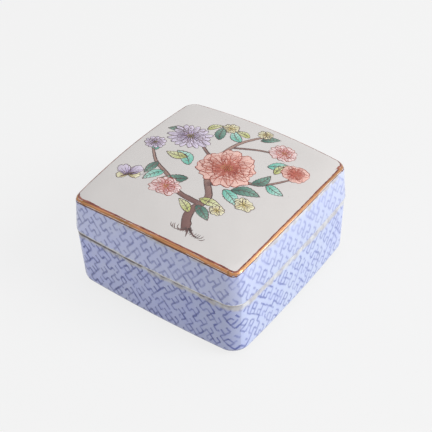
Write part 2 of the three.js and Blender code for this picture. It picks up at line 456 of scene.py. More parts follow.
def fret_ink(tree, position, mm):
    """How much ink the brush left: a square wave runs down each band of three slanting lines, and
    from every second crest of it a stroke goes on to the next line and turns back in a hook."""
    along = node(tree, "ShaderNodeSeparateXYZ", {0: position})
    across = node(tree, "ShaderNodeMath", {0: along.outputs[0], 1: 2 * FRET_COLUMN}, operation="DIVIDE")
    upward = node(tree, "ShaderNodeMath", {0: along.outputs[1], 1: 2 * FRET_ROW}, operation="DIVIDE")
    falling = node(tree, "ShaderNodeMath", {0: across, 1: upward}, operation="SUBTRACT")
    rising = node(tree, "ShaderNodeMath", {0: across, 1: upward}, operation="ADD")
    grid = node(tree, "ShaderNodeCombineXYZ", {0: falling, 1: rising})
    half = (0.5, 0.5, 0.0)
    moved = node(tree, "ShaderNodeVectorMath", {0: grid, 1: half}, operation="ADD")
    nearest = node(tree, "ShaderNodeVectorMath", {0: moved}, operation="FLOOR")
    lower = node(tree, "ShaderNodeVectorMath", {0: grid}, operation="FLOOR")
    offset = node(tree, "ShaderNodeVectorMath", {0: grid, 1: nearest}, operation="SUBTRACT")
    part = node(tree, "ShaderNodeVectorMath", {0: grid, 1: lower}, operation="SUBTRACT")
    near_xy = node(tree, "ShaderNodeSeparateXYZ", {0: nearest})
    low_xy = node(tree, "ShaderNodeSeparateXYZ", {0: lower})
    offset_xy = node(tree, "ShaderNodeSeparateXYZ", {0: offset})
    part_xy = node(tree, "ShaderNodeSeparateXYZ", {0: part})
    # The brush carries more or less colour over some 3 mm, and its line swells with it
    load = node(tree, "ShaderNodeTexNoise", {"Vector": mm, "Scale": 1 / 2.6, "Detail": 2.0})
    width = node(tree, "ShaderNodeMapRange",
                 {"Value": load, "From Min": 0.3, "From Max": 0.7, "To Min": 0.25, "To Max": 0.38})
    reach = node(tree, "ShaderNodeVectorMath", {0: offset, 1: (FRET_PITCH,) * 3}, operation="MULTIPLY")
    joint = node(tree, "ShaderNodeVectorMath", {0: reach}, operation="LENGTH")
    pool = node(tree, "ShaderNodeMapRange",
                {"Value": joint.outputs["Value"], "From Min": 0.62, "From Max": 0.14},
                interpolation_type="SMOOTHSTEP")
    swollen = node(tree, "ShaderNodeMath", {0: pool, 1: 0.06, 2: width}, operation="MULTIPLY_ADD")
    strokes = []
    for line, run, seed in ((0, 1, 0.5), (1, 0, 7.5)):
        rank = (low_xy, near_xy)[line].outputs[1]
        step = (near_xy, low_xy)[line].outputs[0]
        third = node(tree, "ShaderNodeMath", {0: rank, 1: 3.0}, operation="FLOORED_MODULO")
        bundle = node(tree, "ShaderNodeMath", {0: rank, 1: third}, operation="SUBTRACT")
        total = node(tree, "ShaderNodeMath", {0: step, 1: bundle}, operation="ADD")
        turn = node(tree, "ShaderNodeMath", {0: total, 1: 2.0}, operation="FLOORED_MODULO")
        if line == 0:
            past = node(tree, "ShaderNodeMath", {0: third, 1: turn}, operation="SUBTRACT")
            drawn = node(tree, "ShaderNodeMath", {0: past, 1: 0.5}, operation="LESS_THAN")
        else:
            first = node(tree, "ShaderNodeMath", {0: third, 1: 0.5}, operation="LESS_THAN")
            drawn = node(tree, "ShaderNodeMath", {0: turn, 1: first, 2: 0.5}, operation="COMPARE")
        cell = node(tree, "ShaderNodeCombineXYZ",
                    {line: near_xy.outputs[line], run: low_xy.outputs[run], 2: seed})
        segment = node(tree, "ShaderNodeVectorMath",
                       {0: cell, 1: (CELLS_ROUND,) * 3, 2: (0.0, 0.0, 0.0)}, operation="WRAP")
        chance = node(tree, "ShaderNodeTexWhiteNoise", {"Vector": segment})
        luck = node(tree, "ShaderNodeSeparateXYZ", {0: chance.outputs["Color"]})
        kept = node(tree, "ShaderNodeMath", {0: chance, 1: 0.1}, operation="GREATER_THAN")
        spur = node(tree, "ShaderNodeMath", {0: chance, 1: 0.88}, operation="GREATER_THAN")
        full = node(tree, "ShaderNodeMapRange", {"Value": kept, "To Min": 0.58, "To Max": 1.4})
        short = node(tree, "ShaderNodeMapRange", {"Value": spur, "To Min": -0.4, "To Max": 1.4})
        length = node(tree, "ShaderNodeMix", {0: drawn, 2: short, 3: full})
        left = node(tree, "ShaderNodeMath", {0: length, 1: part_xy.outputs[run]}, operation="SUBTRACT")
        on = node(tree, "ShaderNodeMath", {0: left, 1: 9.0, 2: 0.5}, operation="MULTIPLY_ADD",
                  use_clamp=True)
        # Each stroke is a little off its line, and darker or paler than the last
        missed = node(tree, "ShaderNodeMath", {0: luck.outputs[1], 1: 0.1, 2: -0.05},
                      operation="MULTIPLY_ADD")
        aside = node(tree, "ShaderNodeMath", {0: offset_xy.outputs[line], 1: missed}, operation="ADD")
        away = node(tree, "ShaderNodeMath",
                    {0: node(tree, "ShaderNodeMath", {0: aside}, operation="ABSOLUTE"), 1: FRET_PITCH},
                    operation="MULTIPLY")
        inside = node(tree, "ShaderNodeMath", {0: swollen, 1: away}, operation="SUBTRACT")
        edge = node(tree, "ShaderNodeMath", {0: inside, 1: 3.0, 2: 0.5}, operation="MULTIPLY_ADD",
                    use_clamp=True)
        depth = node(tree, "ShaderNodeMapRange", {"Value": luck, "To Min": 0.6, "To Max": 1.0})
        wash = node(tree, "ShaderNodeMapRange", {"Value": away, "From Min": 1.0, "From Max": 0.15})
        stroke = node(tree, "ShaderNodeMath", {0: edge, 1: depth}, operation="MULTIPLY")
        strokes.append((node(tree, "ShaderNodeMath", {0: stroke, 1: on}, operation="MULTIPLY"),
                        node(tree, "ShaderNodeMath", {0: wash, 1: on}, operation="MULTIPLY")))
    ink = node(tree, "ShaderNodeMath", {0: strokes[0][0], 1: strokes[1][0]}, operation="MAXIMUM")
    halo = node(tree, "ShaderNodeMath", {0: strokes[0][1], 1: strokes[1][1]}, operation="MAXIMUM")
    return ink, halo, pool, load


# Overglaze blue enamel: a milky lavender-blue wash, thin and uneven, with a key fret drawn on
# it in darker blue that pools at the joints. The wash stops short of the seam and the gilding
def fret_enamel():
    material, tree = start_material("blue_key_fret_overglaze_enamel")
    mm = object_millimetres(tree)
    chart = node(tree, "ShaderNodeUVMap", {}, uv_map="wrap")
    up = node(tree, "ShaderNodeSeparateXYZ", {0: chart})
    on_lid = node(tree, "ShaderNodeMath", {0: up.outputs[1], 1: 23.29}, operation="GREATER_THAN")
    # On the lid the fret starts 3.3 mm further on
    along = node(tree, "ShaderNodeMath", {0: on_lid, 1: 3.3, 2: up}, operation="MULTIPLY_ADD")
    drawing = node(tree, "ShaderNodeCombineXYZ", {0: along, 1: up.outputs[1]})
    # The hand wanders by half a millimetre over a centimetre and trembles over 2 mm
    wander = node(tree, "ShaderNodeTexNoise", {"Vector": mm, "Scale": 1 / 10, "Detail": 1.0})
    tremble = node(tree, "ShaderNodeTexNoise", {"Vector": mm, "Scale": 1 / 1.9, "Detail": 1.0})
    shifts = [(wander.outputs["Color"], 1.9), (tremble.outputs["Color"], 0.62)]
    position = drawing
    for colour, size in shifts:
        middle = node(tree, "ShaderNodeVectorMath", {0: colour, 1: (0.5, 0.5, 0.5)},
                      operation="SUBTRACT")
        position = node(tree, "ShaderNodeVectorMath", {0: middle, 1: (size, size, 0.0), 2: position},
                        operation="MULTIPLY_ADD")
    ink, halo, pool, load = fret_ink(tree, position, mm)

    patch = node(tree, "ShaderNodeTexNoise", {"Vector": mm, "Scale": 1 / 9, "Detail": 3.0})
    shade = node(tree, "ShaderNodeMapRange", {"Value": patch, "From Min": 0.36, "From Max": 0.62})
    ground = node(tree, "ShaderNodeMixRGB",
                  {"Fac": shade, "Color1": linear("#CCD3F8"), "Color2": linear("#C4CCFD")})
    place = node(tree, "ShaderNodeSeparateXYZ", {0: mm})
    cooler = node(tree, "ShaderNodeMapRange",
                  {"Value": place, "From Min": 31.0, "From Max": 35.0, "To Min": 0.0, "To Max": 0.75})
    ground = node(tree, "ShaderNodeMixRGB",
                  {"Fac": cooler, "Color1": ground, "Color2": linear("#BDCAE1")})
    front = node(tree, "ShaderNodeMath", {0: place.outputs[1], 1: -31.0}, operation="LESS_THAN")
    deeper = node(tree, "ShaderNodeMapRange",
                  {"Value": place, "From Min": -24.0, "From Max": 24.0, "To Min": 0.0, "To Max": 0.62})
    deeper = node(tree, "ShaderNodeMath", {0: deeper, 1: front}, operation="MULTIPLY")
    ground = node(tree, "ShaderNodeMixRGB",
                  {"Fac": deeper, "Color1": ground, "Color2": linear("#A5ADCE")})
    tinted = node(tree, "ShaderNodeMath",
                  {0: halo, 1: node(tree, "ShaderNodeMapRange",
                                    {"Value": shade, "To Min": 0.2, "To Max": 0.46})},
                  operation="MULTIPLY")
    washed = node(tree, "ShaderNodeMixRGB",
                  {"Fac": tinted, "Color1": ground, "Color2": linear("#9AA3DE")})
    paler = node(tree, "ShaderNodeMapRange",
                 {"Value": place.outputs[2], "From Min": 23.0, "From Max": 24.0, "To Min": 0.0,
                  "To Max": 0.3})
    less = node(tree, "ShaderNodeMapRange", {"Value": cooler, "To Min": 1.0, "To Max": 0.0})
    paler = node(tree, "ShaderNodeMath", {0: paler, 1: less}, operation="MULTIPLY")
    washed = node(tree, "ShaderNodeMixRGB",
                  {"Fac": paler, "Color1": washed, "Color2": linear("#E2E7FF")})
    # Ink thins where the brush runs dry and is darkest where strokes meet
    dry = node(tree, "ShaderNodeMapRange",
               {"Value": load, "From Min": 0.32, "From Max": 0.6, "To Min": 0.48, "To Max": 0.95})
    inked = node(tree, "ShaderNodeMath", {0: ink, 1: dry}, operation="MULTIPLY")
    pooled = node(tree, "ShaderNodeMath", {0: pool, 1: ink}, operation="MULTIPLY")
    colour = node(tree, "ShaderNodeMixRGB",
                  {"Fac": pooled, "Color1": linear("#4A55A3"), "Color2": linear("#343E7C")})
    colour = node(tree, "ShaderNodeMixRGB",
                  {"Fac": cooler, "Color1": colour, "Color2": linear("#4F60AA")})

    # The wash thins near the seam, below it more than above, at the heel and under the gilding
    ragged = node(tree, "ShaderNodeTexNoise", {"Vector": mm, "Scale": 1 / 3.2, "Detail": 3.0})
    uneven = node(tree, "ShaderNodeMath", {0: ragged, 1: 3.6, 2: -1.8}, operation="MULTIPLY_ADD")
    height = node(tree, "ShaderNodeMath", {0: up.outputs[1], 1: uneven}, operation="ADD")
    height = node(tree, "ShaderNodeMath", {0: cooler, 1: 1.1, 2: height}, operation="MULTIPLY_ADD")
    bare = node(tree, "ShaderNodeValToRGB", {"Fac": node(tree, "ShaderNodeMapRange",
                {"Value": height, "From Min": 0.0, "From Max": 40.0})})
    stops = ((0.9, 0.7), (2.2, 0.0), (21.1, 0.0), (22.3, 0.85), (23.8, 0.75), (24.4, 0.0),
             (36.1, 0.0), (37.0, 0.75))
    ramp = bare.color_ramp
    ramp.elements.remove(ramp.elements[1])
    for number, (z, amount) in enumerate(stops):
        element = ramp.elements[0] if number == 0 else ramp.elements.new(z / 40)
        element.position = z / 40
        element.color = (amount, amount, amount, 1.0)
    grime = node(tree, "ShaderNodeMapRange",
                 {"Value": ragged, "From Min": 0.38, "From Max": 0.6, "To Min": 0.0, "To Max": 1.0})
    body = node(tree, "ShaderNodeMixRGB",
                {"Fac": grime, "Color1": linear("#D9D9D6"), "Color2": linear("#BDB8B2")})
    uncovered = node(tree, "ShaderNodeMixRGB", {"Fac": bare, "Color1": washed, "Color2": body})
    # A painted highlight: a near-white line along the front of the lid just above the seam, where the glossy
    # edge catches the light
    highlight_band = node(tree, "ShaderNodeMapRange",
                  {"Value": up.outputs[1], "From Min": 24.25, "From Max": 24.05, "To Min": 0.0,
                   "To Max": 1.0})
    painted_highlight = node(tree, "ShaderNodeMath", {0: highlight_band, 1: on_lid}, operation="MULTIPLY")
    painted_highlight = node(tree, "ShaderNodeMath", {0: painted_highlight, 1: front}, operation="MULTIPLY")
    uncovered = node(tree, "ShaderNodeMixRGB",
                     {"Fac": painted_highlight, "Color1": uncovered, "Color2": linear("#FBFBFD")})
    kept = node(tree, "ShaderNodeMapRange", {"Value": bare, "To Min": 1.0, "To Max": 0.12})
    # The painter's colour was thinner on the lid, and on the right-hand side of the box, most
    # of all towards its back
    right = node(tree, "ShaderNodeMapRange",
                 {"Value": place, "From Min": 31.0, "From Max": 35.0, "To Min": 1.0, "To Max": 0.78})
    lid = node(tree, "ShaderNodeMapRange",
               {"Value": place.outputs[2], "From Min": 23.0, "From Max": 24.0, "To Min": 1.0,
                "To Max": 0.74})
    back = node(tree, "ShaderNodeMapRange",
                {"Value": place.outputs[1], "From Min": -20.0, "From Max": 34.0, "To Min": 1.0,
                 "To Max": 0.7})
    thin = node(tree, "ShaderNodeMath", {0: right, 1: lid}, operation="MULTIPLY")
    thin = node(tree, "ShaderNodeMath", {0: thin, 1: back}, operation="MULTIPLY")
    faded = node(tree, "ShaderNodeMapRange",
                 {"Value": place.outputs[2], "From Min": 28.5, "From Max": 34.5, "To Min": 0.0,
                  "To Max": 0.85})
    faded = node(tree, "ShaderNodeMath", {0: faded, 1: cooler}, operation="MULTIPLY")
    clear = node(tree, "ShaderNodeMath", {0: 1.0, 1: faded}, operation="SUBTRACT")
    thin = node(tree, "ShaderNodeMath", {0: thin, 1: clear}, operation="MULTIPLY")
    strength = node(tree, "ShaderNodeMath", {0: kept, 1: thin}, operation="MULTIPLY")
    amount = node(tree, "ShaderNodeMath", {0: inked, 1: strength}, operation="MULTIPLY")
    painted = node(tree, "ShaderNodeMixRGB", {"Fac": amount, "Color1": uncovered, "Color2": colour})
    # Old dirt and painted shadow under the lid's edge along the front
    soiled_and_shaded = node(tree, "ShaderNodeMixRGB", {"Fac": seam_dirt_and_shade(tree, mm, ragged), "Color1": painted,
                                             "Color2": linear(SEAM_DIRT_AND_SHADE)})

    skin = node(tree, "ShaderNodeTexNoise", {"Vector": mm, "Scale": 1 / 1.4, "Detail": 2.0})
    relief = node(tree, "ShaderNodeMath", {0: skin, 1: 0.5, 2: amount}, operation="MULTIPLY_ADD")
    bump = node(tree, "ShaderNodeBump", {"Height": relief, "Strength": 0.5, "Distance": 0.05 * MM})
    gloss = node(tree, "ShaderNodeMapRange", {"Value": patch, "To Min": 0.16, "To Max": 0.3})
    shader = node(tree, "ShaderNodeBsdfPrincipled",
                  {"Base Color": soiled_and_shaded, "Roughness": gloss, "IOR": 1.5, "Normal": bump})
    finish_material(tree, shader)
    return material


# The colour of the dark line under the lid's edge: old dirt and painted shadow
SEAM_DIRT_AND_SHADE = "#746C73"


def seam_dirt_and_shade(tree, mm, ragged):
    """Old dirt and painted shadow under the lid's edge along the front: a dark line half a
    millimetre high at the left, thinner and broken to the right of it, and a grey line at the heel."""
    place = node(tree, "ShaderNodeSeparateXYZ", {0: mm})
    front = node(tree, "ShaderNodeMath", {0: place.outputs[1], 1: -30.0}, operation="LESS_THAN")
    line = node(tree, "ShaderNodeMapRange",
                {"Value": place, "From Min": -27.0, "From Max": 6.0, "To Min": 0.5, "To Max": 0.05})
    spots = node(tree, "ShaderNodeMapRange",
                 {"Value": ragged, "From Min": 0.38, "From Max": 0.62, "To Min": -0.16, "To Max": 0.16})
    thick = node(tree, "ShaderNodeMath", {0: line, 1: spots}, operation="ADD")
    ends = node(tree, "ShaderNodeMapRange", {"Value": place, "From Min": 31.0, "From Max": 24.0})
    level = node(tree, "ShaderNodeMath", {0: place.outputs[2], 1: -22.85}, operation="ADD")
    away = node(tree, "ShaderNodeMath", {0: level}, operation="ABSOLUTE")
    over = node(tree, "ShaderNodeMath", {0: thick, 1: away}, operation="SUBTRACT")
    dark = node(tree, "ShaderNodeMath", {0: over, 1: 5.0}, operation="MULTIPLY", use_clamp=True)
    below = node(tree, "ShaderNodeMath", {0: place.outputs[2], 1: 23.32}, operation="LESS_THAN")
    seam = node(tree, "ShaderNodeMath", {0: dark, 1: below}, operation="MULTIPLY")
    seam = node(tree, "ShaderNodeMath", {0: seam, 1: ends}, operation="MULTIPLY")
    heel = node(tree, "ShaderNodeMapRange",
                {"Value": place.outputs[2], "From Min": 3.1, "From Max": 1.7, "To Min": 0.0,
                 "To Max": 1.0})
    most = node(tree, "ShaderNodeMapRange", {"Value": front, "To Min": 0.3, "To Max": 0.8})
    heel = node(tree, "ShaderNodeMath", {0: heel, 1: most}, operation="MULTIPLY")
    seam = node(tree, "ShaderNodeMath", {0: seam, 1: front}, operation="MULTIPLY")
    return node(tree, "ShaderNodeMath", {0: seam, 1: heel}, operation="MAXIMUM")


# Fired gilding, worn by handling: a copper-gold line with duller olive patches, and a painted highlight on
# the right
def worn_gilding_with_painted_sheen():
    material, tree = start_material("worn_fired_gilding_with_painted_sheen")
    mm = object_millimetres(tree)
    chart = node(tree, "ShaderNodeUVMap", {}, uv_map="UVMap")
    stretched = node(tree, "ShaderNodeMapping", {"Vector": chart, "Scale": (46.0, 3.4, 1.0)})
    mottle = node(tree, "ShaderNodeTexNoise", {"Vector": stretched, "Scale": 1.0, "Detail": 3.0})
    share = node(tree, "ShaderNodeMapRange", {"Value": mottle, "From Min": 0.38, "From Max": 0.66})
    colour = node(tree, "ShaderNodeMixRGB",
                  {"Fac": share, "Color1": linear("#CB8F66"), "Color2": linear("#8A673E")})
    place = node(tree, "ShaderNodeSeparateXYZ", {0: mm})
    # Paler along the right-hand side: a painted highlight for the lamp's broad sheen there
    right = node(tree, "ShaderNodeMapRange",
                 {"Value": place, "From Min": 31.5, "From Max": 33.5, "To Min": 0.0, "To Max": 0.35})
    colour = node(tree, "ShaderNodeMixRGB",
                  {"Fac": right, "Color1": colour, "Color2": linear("#DDAC84")})
    dull = node(tree, "ShaderNodeMapRange",
                {"Value": mottle, "From Min": 0.3, "From Max": 0.7, "To Min": 0.28, "To Max": 0.5})
    brushed = node(tree, "ShaderNodeTexNoise", {"Vector": mm, "Scale": 1 / 0.7, "Detail": 2.0})
    bump = node(tree, "ShaderNodeBump", {"Height": brushed, "Strength": 0.5, "Distance": 0.04 * MM})
    shader = node(tree, "ShaderNodeBsdfPrincipled",
                  {"Base Color": colour, "Metallic": 0.75, "Roughness": dull, "Normal": bump})
    finish_material(tree, shader)
    return material


# A line drawn with a thin brush in enamel or iron red: its colour runs thicker and thinner
def brush_line_enamel(name, dark, light, roughness):
    material, tree = start_material(name)
    mm = object_millimetres(tree)
    flow = node(tree, "ShaderNodeTexNoise", {"Vector": mm, "Scale": 1 / 1.8, "Detail": 2.0})
    share = node(tree, "ShaderNodeMapRange", {"Value": flow, "From Min": 0.36, "From Max": 0.66})
    colour = node(tree, "ShaderNodeMixRGB",
                  {"Fac": share, "Color1": linear(dark), "Color2": linear(light)})
    bump = node(tree, "ShaderNodeBump", {"Height": flow, "Strength": 0.3, "Distance": 0.05 * MM})
    shader = node(tree, "ShaderNodeBsdfPrincipled",
                  {"Base Color": colour, "Roughness": roughness, "IOR": 1.5, "Normal": bump})
    finish_material(tree, shader)
    return material


crown_glaze = porcelain_glaze("clear_glazed_white_porcelain", "#D7D3D1", "#D3CFCD", 0.13)
inner_glaze = porcelain_glaze("inner_glazed_white_porcelain", "#DFDEDA", "#D3DAD9", 0.16)
biscuit = biscuit_clay("unglazed_biscuit_porcelain", "#D6D0C6", "#C0AA8C")
worn_rim = biscuit_clay("rubbed_porcelain_rim", "#CFCBC2", "#ACA598")
# The base's seat row carries old dirt and painted shadow from under the lid's edge
soiled_shaded_rim = biscuit_clay("soiled_and_shaded_porcelain_rim", "#CFCBC2", "#ACA598", soiled_and_shaded=True)
fret = fret_enamel()
gilding = worn_gilding_with_painted_sheen()
iron_red = brush_line_enamel("iron_red_overglaze_line", "#6C3029", "#9C5A49", 0.35)
gilt_edge_brown = brush_line_enamel("burnt_brown_gilding_edge", "#5E3A2C", "#7F543C", 0.6)

# ---------------------------------------------------------------- shells

foot = foot_stations()
heel_arc, seat_arc = base_wall_stations()
collar_outside, cavity = collar_stations()
base_shell = lofted("porcelain_base", [*foot, *heel_arc, *seat_arc, *collar_outside, *cavity],
                    PANEL_Z, FLOOR_Z)
foot_arc = ROUND_STEPS + 1
heel_start = len(foot) + 2
seat_start = len(foot) + len(heel_arc) + ROUND_STEPS - 1
cavity_start = len(foot) + len(heel_arc) + len(seat_arc) + len(collar_outside)
wrap_round(base_shell, station(RIM, BASE_SETBACK, BASE_HEIGHT / 2))
give_finishes(base_shell,
              [inner_glaze, biscuit, inner_glaze, fret, soiled_shaded_rim, worn_rim, inner_glaze],
              [foot_arc, 3 * foot_arc, heel_start, seat_start, seat_start + 1, cavity_start])

ceiling = ceiling_stations()
lid_rim = lid_rim_stations()
shoulder, crown = crown_stations()
lid_shell = lofted("porcelain_lid", [*ceiling, *lid_rim, *shoulder, *crown],
                   LID_TOP + CROWN_RISE - CROWN_THICKNESS, LID_TOP + DOME_RISE)
rim_start = len(ceiling) + 1
fret_start = len(ceiling) + len(lid_rim) - 1
crown_start = len(ceiling) + len(lid_rim) + SHOULDER_STEPS // 2
wrap_round(lid_shell, station(RIM, LID_TAPER / 2, BASE_HEIGHT + LID_HEIGHT / 2))
give_finishes(lid_shell, [inner_glaze, worn_rim, fret, crown_glaze],
              [rim_start, fret_start, crown_start])

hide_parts("box_base")
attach(base_shell, "base")
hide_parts("box_lid")
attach(lid_shell, "lid")

# ---------------------------------------------------------------- lines round the shoulder


def lid_surface(around, distance):
    """A point of the lid's outside, in mm, and how it faces there. distance runs along the
    profile, from 0 where the wall meets the shoulder, up and in over the crown."""

    def at(turn, run):
        shoulder_run = SHOULDER_RADIUS * SHOULDER_END
        if run <= shoulder_run:
            return ring_point(shoulder_station(run / SHOULDER_RADIUS), turn)
        edge = shoulder_station(SHOULDER_END)
        inward = (run - shoulder_run) * math.cos(SHOULDER_SLOPE)
        return ring_point(dome(edge, LID_TOP + DOME_RISE, 1 - inward / edge[0]), turn)

    point = at(around, distance)
    sideways = at(around + 0.002, distance) - at(around - 0.002, distance)
    inwards = at(around, distance + 0.02) - at(around, distance - 0.02)
    return point, sideways.cross(inwards).normalized()


def step_between(value, low, high):
    share = min(max((value - low) / (high - low), 0.0), 1.0)
    return share * share * (3 - 2 * share)


# The painter took the lines round a tighter corner than the porcelain has
TIGHTER_TURN = 0.6


def behind(around):
    """How far the line has dropped: it runs lower on the shoulder along the two back sides."""
    return step_between(around, 0.1, 0.55) - step_between(around, 2.0, 2.28)


def at_corner(around):
    """1 at the middle of a rounded corner, 0 along the sides."""
    return step_between(1 - abs(around % 1 - 0.25) / 0.25, 0.0, 1.0)


def on_right(around):
    """1 along the right-hand side, 0 along the front."""
    return step_between(around, 3.15, 3.45)


def shoulder_line(name, middle, drop, width, rise, material, wobble, seed, right=(0.0, 1.0)):
    """A raised line round the shoulder, drawn by hand: a long grid wrapped on to the lid, with
    its two edges just under the glaze. On the right-hand side it moves and thins as right says."""
    columns, rows = 720, 6
    bpy.ops.object.select_all(action="DESELECT")
    bpy.ops.mesh.primitive_grid_add(x_subdivisions=columns, y_subdivisions=rows, size=1.0)
    line = bpy.context.object
    line.name = name
    line.data.name = name
    for vert in line.data.vertices:
        along, across = vert.co.x + 0.5, vert.co.y + 0.5
        around = along * 4
        spot = Vector((math.cos(along * 2 * math.pi), math.sin(along * 2 * math.pi), seed))
        drift = noise.noise(spot * 7) * wobble + noise.noise(spot * 31) * wobble * 0.6
        swell = 1 + noise.noise(spot * 11 + Vector((5, 0, 0))) * 0.45
        swell += noise.noise(spot * 47 + Vector((0, 9, 0))) * 0.35
        middle_here = middle - drop * behind(around) + right[0] * on_right(around)
        middle_here -= TIGHTER_TURN * at_corner(around) * (1 - behind(around))
        width_here = width * (1 + (right[1] - 1) * on_right(around))
        distance = middle_here + drift + (across - 0.5) * width_here * swell
        point, facing = lid_surface(around, distance)
        crest = math.sin(math.pi * across) if 0 < across < 1 else 0.0
        vert.co = (point + facing * (rise * crest - 0.02)) * MM
    bpy.ops.object.mode_set(mode="EDIT")
    bpy.ops.mesh.select_all(action="SELECT")
    bpy.ops.mesh.remove_doubles(threshold=1e-6)
    bpy.ops.object.mode_set(mode="OBJECT")
    bpy.ops.object.shade_smooth()
    line.data.materials.append(material)
    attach(line, "lid")
    return line


shoulder_line("gilt_band", 1.92, 1.3, 1.40, 0.05, gilding, 0.10, 3.0, (-0.05, 0.95))
shoulder_line("gilt_lower_edge", 1.12, 1.3, 0.50, 0.055, gilt_edge_brown, 0.10, 3.0, (0.05, 0.5))
shoulder_line("iron_red_line", 2.78, 1.15, 0.78, 0.058, iron_red, 0.10, 8.0, (-0.5, 0.9))

# ---------------------------------------------------------------- flower spray on the crown

EDGE_SINK = 0.02


def placed(outline, spot, heading, size=1.0):
    """Turns an outline that points up the drawing to its heading, in degrees, and moves it."""
    turn = math.radians(heading)
    cos, sin = math.cos(turn) * size, math.sin(turn) * size
    return [(spot[0] + x * cos - y * sin, spot[1] + x * sin + y * cos) for x, y in outline]


def petal_outline(length, width, notch=0.0, ruffle=0.0, seed=0.0, points=26):
    outline = []
    for i in range(points):
        turn = 2 * math.pi * i / points
        share = (1 - math.cos(turn)) / 2
        x = width / 2 * math.sin(turn) * (0.35 + 0.65 * share ** 0.6) * 1.15
        y = length * share - notch * math.exp(-(x / (width * 0.16)) ** 2) * share ** 4
        wave = 1 + ruffle * noise.noise(Vector((math.cos(turn) * 2.2, math.sin(turn) * 2.2, seed)))
        outline.append((x * wave, y * (1 + (wave - 1) * share)))
    return outline


def leaf_outline(length, width, bend=0.0, teeth=0.0, points=15):
    right, left = [], []
    for i in range(points + 1):
        share = i / points
        half = width / 2 * math.sin(math.pi * share ** 0.8) ** 0.9
        if i % 2:
            half *= 1 + teeth
        middle = bend * math.sin(math.pi * share)
        right.append((middle + half, length * share))
        left.append((middle - half, length * share))
    return right + left[-2:0:-1]


def washes(name, shapes, material, height, bevel=0.2):
    """Flat washes of enamel: each outline is a filled circle set to its shape, with a sloping
    edge and a level top, its height over the glaze in mm. Its brush map runs across the shape and from its root to its tip.
    While they are worked, the shapes lie one above the other, a storey each."""
    storey = 10.0
    bpy.ops.object.select_all(action="DESELECT")
    for number, (outline, _, _) in enumerate(shapes):
        bpy.ops.mesh.primitive_circle_add(vertices=len(outline), fill_type="NGON")
        if number == 0:
            patches = bpy.context.object
            bpy.ops.object.mode_set(mode="EDIT")
        mesh = bmesh.from_edit_mesh(patches.data)
        chosen = [vert for vert in mesh.verts if vert.select]
        for vert, (x, y) in zip(chosen, outline):
            vert.co = Vector((x, y, number * storey)) * MM
    bmesh.update_edit_mesh(patches.data)
    bpy.ops.mesh.select_all(action="SELECT")
    bpy.ops.mesh.normals_make_consistent(inside=False)
    bpy.ops.mesh.inset(thickness=bevel * MM, depth=0.0)
    bpy.ops.transform.translate(value=(0, 0, (height + EDGE_SINK) * MM))
    bpy.ops.mesh.quads_convert_to_tris(ngon_method="BEAUTY")
    bpy.ops.object.mode_set(mode="OBJECT")
    brush = patches.data.uv_layers.new(name="brush")
    for face in patches.data.polygons:
        if face.normal.z < 0:
            face.flip()
        number = round(face.center.z / MM / storey)
        _, root, tip = shapes[number]
        along = Vector((tip[0] - root[0], tip[1] - root[1]))
        ahead = along.normalized()
        for loop in face.loop_indices:
            co = patches.data.vertices[patches.data.loops[loop].vertex_index].co / MM
            away = Vector((co.x - root[0], co.y - root[1]))
            side = away.x * ahead.y - away.y * ahead.x
            brush.data[loop].uv = (side + number * 7.3, away.dot(ahead) / along.length)
    for vert in patches.data.vertices:
        number = round(vert.co.z / MM / storey)
        vert.co.z += ((number % 10) * 0.002 - number * storey - EDGE_SINK) * MM
    return draped(name, patches, material)


def brush_strokes(name, strokes, material, height, flatten=0.3):
    """Drawn lines: curves with a round brush that swells and thins, flattened on the glaze or
    on the washes below, at their height in mm."""
    drawing = bpy.data.curves.new(name, "CURVE")
    drawing.dimensions = "3D"
    drawing.bevel_depth = 1.0 * MM
    drawing.bevel_resolution = 1
    drawing.use_fill_caps = True
    for points, width in strokes:
        spline = drawing.splines.new("POLY")
        spline.points.add(len(points) - 1)
        for i, (x, y) in enumerate(points):
            share = i / (len(points) - 1)
            press = width(share) if callable(width) else width
            spline.points[i].co = (x * MM, y * MM, 0.0, 1.0)
            spline.points[i].radius = press / 2
    drawn = bpy.data.objects.new(name, drawing)
    bpy.context.scene.collection.objects.link(drawn)
    select_only(drawn)
    bpy.ops.object.convert(target="MESH")
    drawn = bpy.context.object
    for vert in drawn.data.vertices:
        vert.co.z = vert.co.z * flatten + height * MM
    return draped(name, drawn, material)


def draped(name, whole, material):
    """Lays a drawing on the crown."""
    whole.name = name
    whole.data.name = name
    down = Vector((0.0, 0.0, -1.0))
    for vert in whole.data.vertices:
        start = Vector((vert.co.x, vert.co.y, 60 * MM))
        found, spot, _, _ = lid_shell.ray_cast(start, down)
        if found:
            vert.co.z += spot.z
    select_only(whole)
    bpy.ops.object.shade_smooth()
    whole.data.materials.append(material)
    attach(whole, "lid")
    return whole


